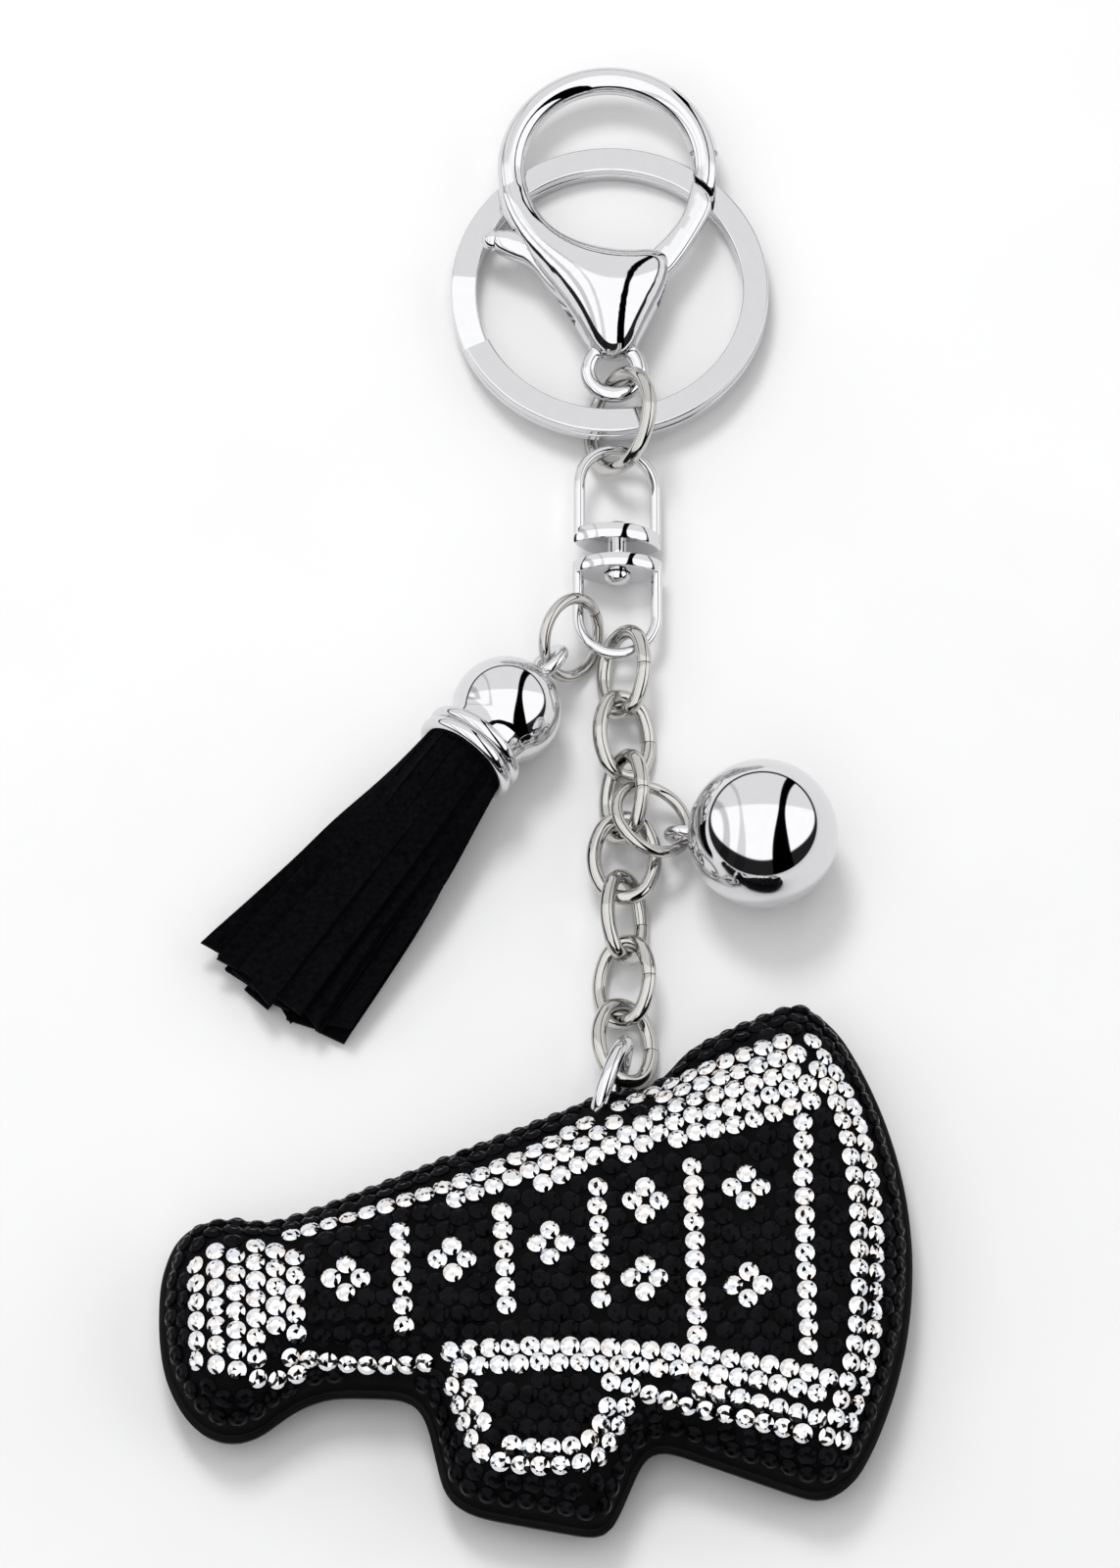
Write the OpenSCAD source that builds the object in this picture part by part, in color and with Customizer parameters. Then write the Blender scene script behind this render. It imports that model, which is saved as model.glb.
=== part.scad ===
// Bag charm: a padded, stone-covered megaphone on a chain with a swivel, a trigger clasp,
// a split ring, a cut-strip tassel and a ball.
// It lies flat on a table. +Z is up from the table and +Y runs along the chain to the clasp.

/* [Chain] */
// Outside length of one chain link
link_length = 10.1; // [10:0.05:10.2]
// Wire diameter of the chain links
link_wire = 1.5; // [1.3:0.05:1.5]

/* [Key ring] */
// Outside diameter of the flat split ring
key_ring_d = 32; // [30:0.5:32]
// Face width of the ring's flat wire
key_ring_face = 2.6; // [2.2:0.1:2.8]
// Thickness of one coil of the ring
key_ring_coil = 1.1; // [0.9:0.05:1.1]

/* [Clasp] */
// Radius of the hook's centreline
hook_r = 9.8; // [9.6:0.1:9.9]
// Wire diameter of the hook
hook_wire = 2.6; // [2.2:0.1:2.6]
// Thickness of the gate lever
gate_t = 1.6; // [1.2:0.1:1.6]

/* [Swivel] */
// Distance from the swivel's axis to each leg of a bail
bail_half = 3.93; // [3.8:0.01:3.95]
// Wire diameter of the bails
bail_wire = 1.15; // [1:0.05:1.15]

/* [Tassel] */
// Radius of the tassel cap's ball
cap_r = 5.5; // [5:0.1:5.5]
// Length of the strips below the cap
skirt_length = 29.5; // [24:0.5:30]
// Width of the strips at their free ends
skirt_width = 19.6; // [16:0.1:20]

/* [Ball] */
// Radius of the hollow ball
ball_r = 7.5; // [7.3:0.1:7.5]

/* [Pad] */
// Height of the pad's seam above the table
seam_z = 4.2; // [4:0.1:4.4]
// Height of the front above the seam
front_rise = 7.5; // [6.5:0.1:8]
// Thickness of the cloth covers
cloth = 0.8; // [0.6:0.1:1]

/* [Hidden] */
$fn = 48;

chain_x = 8.8;
link_end_r = 2.65;
link_end_y = link_length / 2 - link_wire / 2 - link_end_r;
link_side_r = 2 * (link_end_y + link_end_r / 2);
link_half = link_side_r - (link_side_r - link_end_r) * cos(30);
first_link_y = 13.4;
// Distances from each link to the next
link_steps = [6.78, 6.7, 6.56, 6.46, 6.64, 6.66];
// Roll of each link about the chain's line: its right side is up where this is positive
link_roll = [49, -37, 54, -1, -56, 36, -32];
last_link_pitch = 7.9;
// Link 4 hangs between its neighbours and the lower end of link 7 is lifted by the ring
hung_link_z = 3.15;
last_link_lift = 0.35;

swivel_x = 8.13;
swivel_z = 3.3;
upper_bail_roll = -14;
upper_plate_y = 26.9;
upper_plate_t = 1.65;
upper_arch_y = 33.42;
lower_plate_y = 23.9;
lower_plate_t = 1.45;
lower_arch_y = 19.25;
plate_half = 4.5;
plate_rise = 2.7;
rivet_r = 0.6;
rivet_head_r = 1.33;
swivel_collar_r = 0.95;
running_gap = 0.06;

connector_r = 4.95;
connector_wire = 1.5;
connector_tilt = 54;
connector_at = [8.4, 40, connector_r * sin(connector_tilt) + connector_wire / 2];

key_ring_at = [7.4, 54.85];
key_ring_tilt = 3.7;
coil_gap = 0.1;
ramp_angle = 30;
// Where on the ring its lower coil begins
coil_start = 175;
wire_bevel = 0.25;

clasp_z = 4.25;
hook_at = [7.26, 67.65];
hook_tip_angle = -6;
hook_end_angle = 200;
eye_at = [7.8, 45.65];
eye_r = 2.7;
eye_wire = 1.5;
pivot_at = [8.7, 55.25];
pin_r = 0.6;
pin_length = 5;
body_t = 4.4;
slot_gap = 0.15;
// Pocket for the spring above the gate, measured from the clasp's middle plane
pocket_r = 2;
pocket_h = 2.3;
// Ball on the end of the thumb tab
tab_at = [-4.4, 59.9];
tab_r = 0.95;
tab_half = 0.8;

tassel_ring_at = [3.5, 16.8, 4];
tassel_ring_r = 3.95;
small_wire = 1.2;
cap_at = [-3, 8.25, 5.6];
tassel_turn = -36.87;
cap_pitch = -8;
cap_eye_r = 1.75;
cap_eye_wire = 1.3;
cap_eye_turn = 35;
cap_eye_sink = 0.2;
cap_wall = 0.7;
cap_mouth_y = -7.6;
cap_neck_r = 4.6;
collar_r = 5.4;
band_r = 0.75;
plug_r = 3.6;
plug_top_y = -3.1;
plug_length = 4.4;
tassel_ring_turn = [0, 56.1, -28.3];

ball_at = [22.58, -5.76, ball_r];
ball_ring_at = [11.6, -2.99, 4.49];
ball_ring_r = 3.95;
ball_eye_r = 1.65;
ball_eye_wire = 1.1;
ball_eye_out = 8.95;
ball_stem_r = 0.7;
ball_stem_sink = 1.6;
ball_stem_length = 1.7;
ball_wall = 0.8;
ball_turn = [0, 29.1, 169.9];
ball_ring_turn = [0, 30.3, 29.4];

charm_ring_at = [7.35, -32.3, 5.6];
charm_ring_r = 4.7;
charm_ring_wire = 1.6;
charm_ring_turn = 19.3;
tunnel_gap = 0.3;
fill_gap = 0.3;
fill_inset = 3.5;
pad_mid_y = -52;
front_taper = 0.86;
back_taper = 0.95;
open_by = 0.5;
notch_r = 5.9;
bell_at = [-10, -51];
bell_r = 47.4;

// Cuts reach this far past the faces that they open
past = 1;

chrome = [0.78, 0.78, 0.8];
suede = [0.05, 0.05, 0.05];

function link_y(i) = i == 0 ? first_link_y : link_y(i - 1) - link_steps[i - 1];
function link_z(i) = i == 3 ? hung_link_z
    : link_half * sin(abs(link_roll[i])) + link_wire / 2 + (i == 6 ? last_link_lift : 0);

module torus(r, wire, angle = 360) {
    rotate_extrude(angle = angle)
        translate([r, 0])
            circle(d = wire, $fn = 24);
}

// Point of a link's centreline where its outward normal points at angle a, pushed out by d
function link_point(a, d) =
    let (on_side = abs(cos(a)) >= cos(30),
         turn_at = on_side ? [sign(cos(a)) * (link_half - link_side_r), 0] : [0, sign(sin(a)) * link_end_y],
         r = (on_side ? link_side_r : link_end_r) + d)
    turn_at + r * [cos(a), sin(a)];

// One oval link about its centre, long way along Y: two end arcs and two side arcs
module oval_link() {
    step = 10;
    sides = 10;
    rings = 360 / step;
    points = [for (i = [0:rings - 1]) for (j = [0:sides - 1])
        let (t = (j + 0.5) * 360 / sides, p = link_point(i * step, link_wire / 2 * cos(t)))
        [p[0], p[1], link_wire / 2 * sin(t)]];
    faces = [for (i = [0:rings - 1]) for (j = [0:sides - 1])
        let (k = (i + 1) % rings, m = (j + 1) % sides)
        [i * sides + j, i * sides + m, k * sides + m, k * sides + j]];
    polyhedron(points, faces, convexity = 4);
}

module chain_link(i) {
    color(chrome)
        translate([chain_x, link_y(i), link_z(i)])
            rotate([i == 6 ? -last_link_pitch : 0, 0, 0])
                rotate([0, -link_roll[i], 0])
                    oval_link();
}

// A bail: lens-shaped plate with two legs and a round arch, plate at y = 0 and arch above it
module bail(plate_t, arch_y, hole_r) {
    lens_r = (plate_half * plate_half + plate_rise * plate_rise) / (2 * plate_rise);
    difference() {
        union() {
            rotate([90, 0, 0])
                linear_extrude(plate_t, center = true)
                    intersection() {
                        translate([0, lens_r - plate_rise])
                            circle(lens_r, $fn = 96);
                        translate([0, plate_rise - lens_r])
                            circle(lens_r, $fn = 96);
                    }
            for (side = [-1, 1])
                translate([side * bail_half, 0, 0])
                    rotate([-90, 0, 0])
                        cylinder(d = bail_wire, h = arch_y, $fn = 24);
            translate([0, arch_y, 0])
                torus(bail_half, bail_wire, 180);
        }
        rotate([90, 0, 0])
            cylinder(r = hole_r, h = 2 * plate_t, center = true);
    }
}

module swivel_upper_bail() {
    plate_y = upper_plate_y + upper_plate_t / 2;
    color(chrome)
        translate([swivel_x, plate_y, swivel_z])
            rotate([0, -upper_bail_roll, 0])
                bail(upper_plate_t, upper_arch_y - plate_y, rivet_r);
}

module swivel_lower_bail() {
    plate_y = lower_plate_y + lower_plate_t / 2;
    color(chrome)
        translate([swivel_x, plate_y, swivel_z])
            rotate([0, 0, 180])
                bail(lower_plate_t, plate_y - lower_arch_y, rivet_r + running_gap);
}

// Shank through both plates, with a head above the upper one and below the lower one
module swivel_rivet() {
    head_h = 1;
    top = upper_plate_y + upper_plate_t;
    low = lower_plate_y - running_gap;
    color(chrome)
        translate([swivel_x, 0, swivel_z])
            rotate([-90, 0, 0]) {
                translate([0, 0, low])
                    cylinder(r = rivet_r, h = top - low);
                translate([0, 0, top])
                    cylinder(r1 = rivet_head_r, r2 = rivet_r, h = head_h);
                translate([0, 0, low - head_h])
                    cylinder(r1 = rivet_r, r2 = rivet_head_r, h = head_h);
            }
}

// Spacer tube between the two plates
module swivel_collar() {
    low = lower_plate_y + lower_plate_t + running_gap;
    color(chrome)
        translate([swivel_x, low, swivel_z])
            rotate([-90, 0, 0])
                difference() {
                    cylinder(r = swivel_collar_r, h = upper_plate_y - low);
                    translate([0, 0, -past])
                        cylinder(r = rivet_r, h = upper_plate_y - low + 2 * past);
                }
}

module connector_ring() {
    color(chrome)
        translate(connector_at)
            rotate([0, -connector_tilt, 0])
                torus(connector_r, connector_wire);
}

// Height of the coil's centre at a turn angle: flat, a ramp, then flat one coil higher
function coil_z(a) = (key_ring_coil + coil_gap) * max(0, min(1, (a - 360) / ramp_angle + 1));

// Corners of the flat wire's bevelled section: [outwards, up]
function wire_section() =
    let (w = key_ring_face / 2, h = key_ring_coil / 2, c = wire_bevel)
    [[w, h - c], [w - c, h], [c - w, h], [-w, h - c],
     [-w, c - h], [c - w, -h], [w - c, -h], [w, c - h]];

// Two turns of flat wire, wound as one closed solid
module split_ring() {
    r = (key_ring_d - key_ring_face) / 2;
    step = 6;
    steps = (720 - ramp_angle) / step;
    section = wire_section();
    n = len(section);
    points = [for (i = [0:steps]) for (c = section)
        [(r + c[0]) * cos(i * step), (r + c[0]) * sin(i * step), coil_z(i * step) + c[1]]];
    walls = [for (i = [0:steps - 1]) for (j = [0:n - 1])
        [i * n + j, i * n + (j + 1) % n, (i + 1) * n + (j + 1) % n, (i + 1) * n + j]];
    first = [for (j = [0:n - 1]) n - 1 - j];
    last = [for (j = [0:n - 1]) steps * n + j];
    polyhedron(points, concat(walls, [first, last]), convexity = 8);
}

// The far side of the ring lies on the table and the near side rests on the connector
module key_ring() {
    color(chrome)
        translate([key_ring_at[0], key_ring_at[1] + key_ring_d / 2, 0])
            rotate([-key_ring_tilt, 0, 0])
                translate([0, -key_ring_d / 2, key_ring_coil / 2])
                    rotate([0, 0, coil_start])
                        mirror([0, 1, 0])
                            split_ring();
}

// Space that the gate lever sweeps inside the clasp's body
module gate_slot() {
    linear_extrude(gate_t + 2 * slot_gap, center = true)
        polygon([[6.4, 57.6], [3, 56.9], [0.1, 60], [-4, 61.4], [-4, 44], [3.6, 50.6],
            [8.7, 52.6], [14, 52.6], [20, 56], [20, 69.5], [12, 69.5], [6.4, 62]]);
}

// Cast body with a slot for the gate, a bored pivot and a pocket for the spring
module clasp_hook() {
    color(chrome)
        translate([0, 0, clasp_z])
            difference() {
                union() {
                    translate([hook_at[0], hook_at[1], 0])
                        rotate([0, 0, hook_tip_angle])
                            torus(hook_r, hook_wire, hook_end_angle - hook_tip_angle);
                    linear_extrude(body_t, center = true)
                        polygon([[6.2, 47.8], [9.3, 47.8], [12.2, 53.6], [12.4, 57], [11.2, 58],
                            [8.7, 58.2], [4.5, 59.6], [1.6, 60], [0.4, 59], [4, 52.4]]);
                    linear_extrude(hook_wire, center = true)
                        polygon([[4.5, 59.6], [1.6, 61.3], [-0.4, 64.6], [-1.1, 65.6], [-3.1, 65.2],
                            [-2.7, 63.2], [-0.6, 60.2], [1, 57], [4, 56]]);
                    translate([eye_at[0], eye_at[1], 0])
                        torus(eye_r, eye_wire);
                }
                gate_slot();
                translate([pivot_at[0], pivot_at[1], 0])
                    cylinder(r = pin_r, h = pin_length + 2 * past, center = true);
                translate([pivot_at[0], pivot_at[1], 0])
                    cylinder(r = pocket_r, h = pocket_h);
            }
}

// Lever with the hook's closing arm on the right and the thumb tab on the left
module clasp_gate() {
    color(chrome)
        translate([0, 0, clasp_z])
            difference() {
                union() {
                    linear_extrude(gate_t, center = true)
                        polygon([[15.7, 66.4], [18.05, 66.4], [17.7, 63.6], [13.2, 56.4], [10.1, 53.9],
                            [8.7, 53.4], [6.4, 53], [3.1, 53.2], [0.9, 54.6], [-1.1, 57.6],
                            [tab_at[0], tab_at[1] - tab_half], [tab_at[0], tab_at[1] + tab_half],
                            [-0.4, 59.1], [1.9, 56.2], [3.4, 55.2], [6.4, 56.3], [8.7, 57],
                            [10.4, 57.4], [15.2, 64.4]]);
                    translate([tab_at[0], tab_at[1], 0])
                        sphere(tab_r, $fn = 32);
                }
                translate([pivot_at[0], pivot_at[1], 0])
                    cylinder(r = pin_r + running_gap, h = gate_t + 2 * past, center = true);
            }
}

module clasp_pin() {
    color(chrome)
        translate([pivot_at[0], pivot_at[1], clasp_z])
            cylinder(r = pin_r, h = pin_length, center = true);
}

// Torsion spring on the pin, beside the lever, in the pocket of the clasp's body
module clasp_spring() {
    wire = 0.3;
    coil = 1.4;
    rise = 0.36;
    turns = 2.5;
    step = 15;
    sides = 8;
    rings = turns * 360 / step;
    base = gate_t / 2 + wire / 2 + running_gap;
    points = [for (i = [0:rings]) for (j = [0:sides - 1])
        let (a = i * step, t = j * 360 / sides, r = coil + wire / 2 * cos(t))
        [r * cos(a), r * sin(a), rise * a / 360 + wire / 2 * sin(t)]];
    walls = [for (i = [0:rings - 1]) for (j = [0:sides - 1])
        [(i + 1) * sides + j, (i + 1) * sides + (j + 1) % sides,
         i * sides + (j + 1) % sides, i * sides + j]];
    first = [for (j = [0:sides - 1]) j];
    last = [for (j = [0:sides - 1]) rings * sides + sides - 1 - j];
    color([0.6, 0.6, 0.62])
        translate([pivot_at[0], pivot_at[1], clasp_z + base])
            polyhedron(points, concat(walls, [first, last]), convexity = 8);
}

module tassel_ring() {
    color(chrome)
        translate(tassel_ring_at)
            rotate(tassel_ring_turn)
                torus(tassel_ring_r, small_wire);
}

// Frame of the tassel's cap: y runs up its axis, away from the strips
module at_cap() {
    translate(cap_at)
        rotate([0, 0, tassel_turn])
            rotate([cap_pitch, 0, 0])
                children();
}

// Moulded cap: hollow ball, two raised bands round its mouth and an eye on top
module tassel_cap() {
    bands_h = 3.5 * band_r;
    neck_h = 4.6;
    bore_h = 4.7;
    color(chrome)
        at_cap() {
            rotate([-90, 0, 0])
                difference() {
                    union() {
                        sphere(cap_r, $fn = 64);
                        translate([0, 0, cap_mouth_y])
                            cylinder(r = cap_neck_r, h = neck_h);
                        for (k = [0, 1])
                            translate([0, 0, cap_mouth_y + band_r + k * 2 * band_r])
                                torus(collar_r - band_r, 2 * band_r);
                        translate([0, 0, cap_mouth_y])
                            cylinder(r = collar_r - band_r, h = bands_h);
                    }
                    sphere(cap_r - cap_wall, $fn = 64);
                    translate([0, 0, cap_mouth_y - past])
                        cylinder(r = collar_r - band_r - cap_wall, h = bore_h + past);
                }
            translate([0, cap_r + cap_eye_r - cap_eye_sink, 0])
                rotate([0, 90, 0])
                    rotate([0, cap_eye_turn, 0])
                        torus(cap_eye_r, cap_eye_wire);
        }
}

// Rolled upper ends of the strips, glued into the cap
module tassel_plug() {
    color(suede)
        at_cap()
            rotate([90, 0, 0])
                translate([0, 0, -plug_top_y])
                    cylinder(r = plug_r, h = plug_length);
}

// Outer shape of the bundle of strips, spread out flat towards its free end
module tassel_skirt() {
    top_r = 4.5;
    end_h = 4.6;
    top_y = -7.7;
    top_gap = 0.6;
    top_rise = 1;
    top_t = 0.8;
    end_t = 0.5;
    end_y = top_y - skirt_length;
    color(suede)
        translate([cap_at[0], cap_at[1], 0])
            rotate([0, 0, tassel_turn])
                hull() {
                    translate([0, top_y - top_gap, cap_at[2] + top_rise])
                        rotate([90 + cap_pitch, 0, 0])
                            cylinder(r = top_r, h = top_t, $fn = 32);
                    for (side = [-1, 1])
                        translate([side * (skirt_width - end_h) / 2, end_y, end_h / 2])
                            rotate([-90, 0, 0])
                                cylinder(d = end_h, h = end_t, $fn = 32);
                }
}

module ball_ring() {
    color(chrome)
        translate(ball_ring_at)
            rotate(ball_ring_turn)
                torus(ball_ring_r, small_wire);
}

// Frame of the ball: x points out through its eye
module at_ball() {
    translate(ball_at)
        rotate(ball_turn)
            children();
}

module ball_shell() {
    color(chrome)
        at_ball()
            difference() {
                sphere(ball_r, $fn = 96);
                sphere(ball_r - ball_wall, $fn = 96);
                rotate([0, 90, 0])
                    cylinder(r = ball_stem_r, h = ball_r + past);
                translate([ball_eye_out, 0, 0])
                    rotate([90, 0, 0])
                        torus(ball_eye_r, ball_eye_wire + running_gap);
            }
}

// Wire eye with a stem that is pressed into the ball
module ball_eye() {
    color(chrome)
        at_ball() {
            translate([ball_eye_out, 0, 0])
                rotate([90, 0, 0])
                    torus(ball_eye_r, ball_eye_wire);
            translate([ball_r - ball_stem_sink, 0, 0])
                rotate([0, 90, 0])
                    cylinder(r = ball_stem_r, h = ball_stem_length);
        }
}

// Frame of the ring in the pad's edge: it stands on its rim, its axis level
module at_charm_ring() {
    translate(charm_ring_at)
        rotate([0, 0, -charm_ring_turn])
            rotate([0, 90, 0])
                children();
}

module charm_ring() {
    color(chrome)
        at_charm_ring()
            torus(charm_ring_r, charm_ring_wire);
}

// Outline of the pad: bell on the right, handle below and mouthpiece on the left
module pad_outline() {
    round_r = 1.3;
    bell_arc = [for (a = [-28:6:32]) bell_at + bell_r * [cos(a), sin(a)]];
    top_edge = [[26.4, -22.4], [18.7, -25.7], [4, -33.6], [-22.5, -44.9], [-26.6, -46.3]];
    mouthpiece = [[-30, -45.6], [-33.4, -46], [-35.9, -48], [-37.3, -52.5], [-37.4, -58],
        [-36.8, -62.5], [-35, -66.5], [-32.6, -68.9], [-29.7, -69.6], [-27, -68.6], [-24, -65.9]];
    handle = [[-20.5, -64.4], [-12, -64.6], [-10.8, -67], [-9, -75.3], [-6.3, -77],
        [7.2, -79.6], [11.3, -69.5]];
    offset(r = round_r)
        offset(r = -2 * round_r)
            offset(r = round_r)
                difference() {
                    polygon(concat(bell_arc, top_edge, mouthpiece, handle, [[28.4, -75.8]]));
                    translate([chain_x, link_y(6)])
                        circle(notch_r);
                }
}

// A slab of the pad's outline, drawn in by an inset, with sloping sides
module pad_slab(inset, height, taper) {
    translate([0, pad_mid_y, 0])
        linear_extrude(height, scale = taper)
            translate([0, -pad_mid_y])
                offset(delta = -inset)
                    pad_outline($fn = 16);
}

module ring_tunnel() {
    at_charm_ring()
        torus(charm_ring_r, charm_ring_wire + 2 * tunnel_gap);
}

// Hollow cover, open at the seam
module pad_cover(height, taper) {
    difference() {
        pad_slab(0, height, taper);
        translate([0, 0, -open_by])
            pad_slab(cloth, height - cloth + open_by, taper);
    }
}

module pad_front_cover() {
    color([0.06, 0.06, 0.07])
        difference() {
            translate([0, 0, seam_z])
                pad_cover(front_rise, front_taper);
            ring_tunnel();
        }
}

// Plain cover of the back, which lies on the table
module pad_back_cover() {
    color([0.09, 0.09, 0.1])
        difference() {
            translate([0, 0, seam_z])
                mirror([0, 0, 1])
                    pad_cover(seam_z, back_taper);
            ring_tunnel();
        }
}

module pad_filling() {
    low = cloth + fill_gap;
    color([0.92, 0.92, 0.9])
        difference() {
            translate([0, 0, low])
                pad_slab(fill_inset, seam_z + front_rise - 2 * low, front_taper);
            ring_tunnel();
        }
}

pad_front_cover();
pad_back_cover();
pad_filling();
charm_ring();
chain_link(0);  // chain_link_1
chain_link(1);  // chain_link_2
chain_link(2);  // chain_link_3
chain_link(3);  // chain_link_4
chain_link(4);  // chain_link_5
chain_link(5);  // chain_link_6
chain_link(6);  // chain_link_7
swivel_lower_bail();
swivel_upper_bail();
swivel_rivet();
swivel_collar();
connector_ring();
clasp_hook();
clasp_gate();
clasp_pin();
clasp_spring();
key_ring();
tassel_ring();
tassel_cap();
tassel_plug();
tassel_skirt();
ball_ring();
ball_shell();
ball_eye();
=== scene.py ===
"""Looks of a stone-covered megaphone bag charm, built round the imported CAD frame.

Every length below is in millimetres in the row's frame until a mesh is made, which is in metres.
The charm lies on the table: +Y runs along the chain to the clasp and +Z points up.
"""
import math

import bmesh
import bpy
import numpy as np
from mathutils import Euler, Matrix, Vector
from mathutils.geometry import delaunay_2d_cdt


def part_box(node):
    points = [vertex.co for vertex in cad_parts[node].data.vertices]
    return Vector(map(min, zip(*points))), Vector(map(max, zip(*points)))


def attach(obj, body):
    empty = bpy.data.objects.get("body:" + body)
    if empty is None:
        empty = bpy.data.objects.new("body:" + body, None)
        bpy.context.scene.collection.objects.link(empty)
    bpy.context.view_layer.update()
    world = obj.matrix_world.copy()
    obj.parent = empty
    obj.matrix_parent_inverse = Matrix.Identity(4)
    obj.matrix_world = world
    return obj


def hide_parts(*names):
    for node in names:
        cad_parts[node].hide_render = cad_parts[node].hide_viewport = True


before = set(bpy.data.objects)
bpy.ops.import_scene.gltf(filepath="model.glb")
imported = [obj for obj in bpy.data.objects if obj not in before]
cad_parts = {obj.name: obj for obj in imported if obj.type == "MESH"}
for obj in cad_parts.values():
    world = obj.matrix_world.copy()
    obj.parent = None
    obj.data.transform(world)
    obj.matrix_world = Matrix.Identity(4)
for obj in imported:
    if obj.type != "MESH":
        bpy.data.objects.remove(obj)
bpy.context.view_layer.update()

MM = 0.001
RNG = np.random.default_rng(7)


# ---------------------------------------------------------------- meshes

def make_piece(name, verts, faces, material, smooth=True):
    """A mesh object from points in millimetres."""
    mesh = bpy.data.meshes.new(name)
    mesh.from_pydata([tuple(float(c) * MM for c in v) for v in verts], [], [tuple(f) for f in faces])
    mesh.validate()
    piece = bpy.data.objects.new(name, mesh)
    bpy.context.scene.collection.objects.link(piece)
    mesh.materials.append(material)
    mesh.polygons.foreach_set("use_smooth", [smooth] * len(mesh.polygons))
    fix_normals(piece)
    return piece


def fix_normals(piece):
    bm = bmesh.new()
    bm.from_mesh(piece.data)
    bmesh.ops.recalc_face_normals(bm, faces=bm.faces)
    bm.to_mesh(piece.data)
    bm.free()


def smooth_by_angle(piece, degrees):
    """Smooth shading with creases where faces meet at more than an angle."""
    mesh = piece.data
    mesh.polygons.foreach_set("use_smooth", [True] * len(mesh.polygons))
    mesh.set_sharp_from_angle(angle=math.radians(degrees))


def sweep(path, section, closed):
    """Points and faces of a section swept along a path of (point, across, up) frames.

    The section is a list of (across, up) offsets, or a function of the step that gives one.
    """
    verts = []
    n = None
    for k, (point, across, up) in enumerate(path):
        ring = section(k) if callable(section) else section
        n = len(ring)
        verts += [point + across * a + up * b for a, b in ring]
    rings = len(path)
    faces = []
    for i in range(rings if closed else rings - 1):
        k = (i + 1) % rings
        faces += [(i * n + j, i * n + (j + 1) % n, k * n + (j + 1) % n, k * n + j) for j in range(n)]
    if not closed:
        faces += [tuple(range(n))[::-1], tuple((rings - 1) * n + j for j in range(n))]
    return verts, faces


def circle(radius, sides=20):
    return [(radius * math.cos(t), radius * math.sin(t)) for t in np.linspace(0, 2 * math.pi, sides, False)]


def cut_ends(radius, count, k, ease=3, sides=20):
    """Wire section that shrinks a little over the first and last rings, like a clipped, deburred end."""
    from_end = min(k, count - 1 - k)
    scale = 1 - 0.07 * (1 - min(1, from_end / ease)) ** 2
    return circle(radius * scale, sides)


# ---------------------------------------------------------------- materials

def new_material(name, **inputs):
    """A principled material whose uniform values sit on the shader's own sockets."""
    material = bpy.data.materials.new(name)
    material.use_nodes = True
    shader = material.node_tree.nodes["Principled BSDF"]
    for socket, value in inputs.items():
        shader.inputs[socket.replace("_", " ")].default_value = value
    return material


def add_noise(material, scale, detail=4.0, kind="ShaderNodeTexNoise"):
    nodes, links = material.node_tree.nodes, material.node_tree.links
    place = nodes.new("ShaderNodeTexCoord")
    texture = nodes.new(kind)
    texture.inputs["Scale"].default_value = scale
    if "Detail" in texture.inputs:
        texture.inputs["Detail"].default_value = detail
    links.new(place.outputs["Object"], texture.inputs["Vector"])
    return texture


def vary_colour(material, texture, dark, light, low=0.3, high=0.7):
    nodes, links = material.node_tree.nodes, material.node_tree.links
    ramp = nodes.new("ShaderNodeValToRGB")
    ramp.color_ramp.elements[0].position = low
    ramp.color_ramp.elements[1].position = high
    ramp.color_ramp.elements[0].color = (*dark, 1)
    ramp.color_ramp.elements[1].color = (*light, 1)
    out = texture.outputs["Fac"] if "Fac" in texture.outputs else texture.outputs["Distance"]
    links.new(out, ramp.inputs["Fac"])
    links.new(ramp.outputs["Color"], nodes["Principled BSDF"].inputs["Base Color"])


def vary_roughness(material, texture, low, high):
    nodes, links = material.node_tree.nodes, material.node_tree.links
    spread = nodes.new("ShaderNodeMapRange")
    spread.inputs["To Min"].default_value = low
    spread.inputs["To Max"].default_value = high
    out = texture.outputs["Fac"] if "Fac" in texture.outputs else texture.outputs["Distance"]
    links.new(out, spread.inputs["Value"])
    links.new(spread.outputs["Result"], nodes["Principled BSDF"].inputs["Roughness"])


def add_bump(material, texture, strength, depth_mm):
    nodes, links = material.node_tree.nodes, material.node_tree.links
    bump = nodes.new("ShaderNodeBump")
    bump.inputs["Strength"].default_value = strength
    bump.inputs["Distance"].default_value = depth_mm * MM
    out = texture.outputs["Fac"] if "Fac" in texture.outputs else texture.outputs["Distance"]
    links.new(out, bump.inputs["Height"])
    links.new(bump.outputs["Normal"], nodes["Principled BSDF"].inputs["Normal"])


def chrome(name, tint, rough_low, rough_high, bump):
    material = new_material(name, Metallic=1.0)
    cloud = add_noise(material, 900.0, 3.0)
    vary_colour(material, cloud, [c * 0.98 for c in tint], tint)
    vary_roughness(material, add_noise(material, 2500.0, 6.0), rough_low, rough_high)
    add_bump(material, add_noise(material, 260.0, 1.0), bump, 0.02)
    return material


def leather():
    material = new_material("black_leather", Specular_IOR_Level=0.08)
    grain = add_noise(material, 1500.0, 2.0, "ShaderNodeTexVoronoi")
    vary_colour(material, add_noise(material, 300.0), (0.0015, 0.0015, 0.0018), (0.004, 0.004, 0.005))
    vary_roughness(material, add_noise(material, 500.0), 0.34, 0.5)
    add_bump(material, grain, 0.35, 0.05)
    return material


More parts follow.
